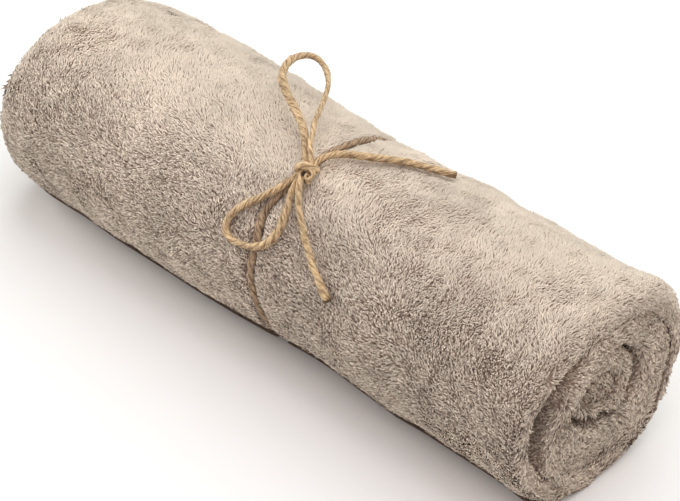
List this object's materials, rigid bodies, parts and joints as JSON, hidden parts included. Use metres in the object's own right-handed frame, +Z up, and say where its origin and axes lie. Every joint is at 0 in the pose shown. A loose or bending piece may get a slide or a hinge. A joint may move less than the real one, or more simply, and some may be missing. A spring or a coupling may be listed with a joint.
{
  "type": "rolled bath towel",
  "caption": "Bath towel of terry cloth, folded and rolled up into a soft cylinder and tied round the middle with a jute twine bow.",
  "frame": {"origin": "on the surface the roll rests on, below the middle of the roll", "axes": "+X along the roll towards the end that shows its winding, +Y to the back, away from the bow's hanging tail, +Z up"},
  "size_m": [0.3497, 0.1154, 0.1134],
  "materials": {
    "terry": "looped cotton terry in greige, matt",
    "twine": "plied jute twine in golden tan, matt with stray fibres"
  },
  "bodies": {
    "root": {"towel_roll": "terry", "twine_band": "twine", "twine_knot": "twine", "bow_loop_top": "twine", "bow_loop_left": "twine", "tail_right": "twine", "tail_down": "twine"}
  },
  "joints": []
}
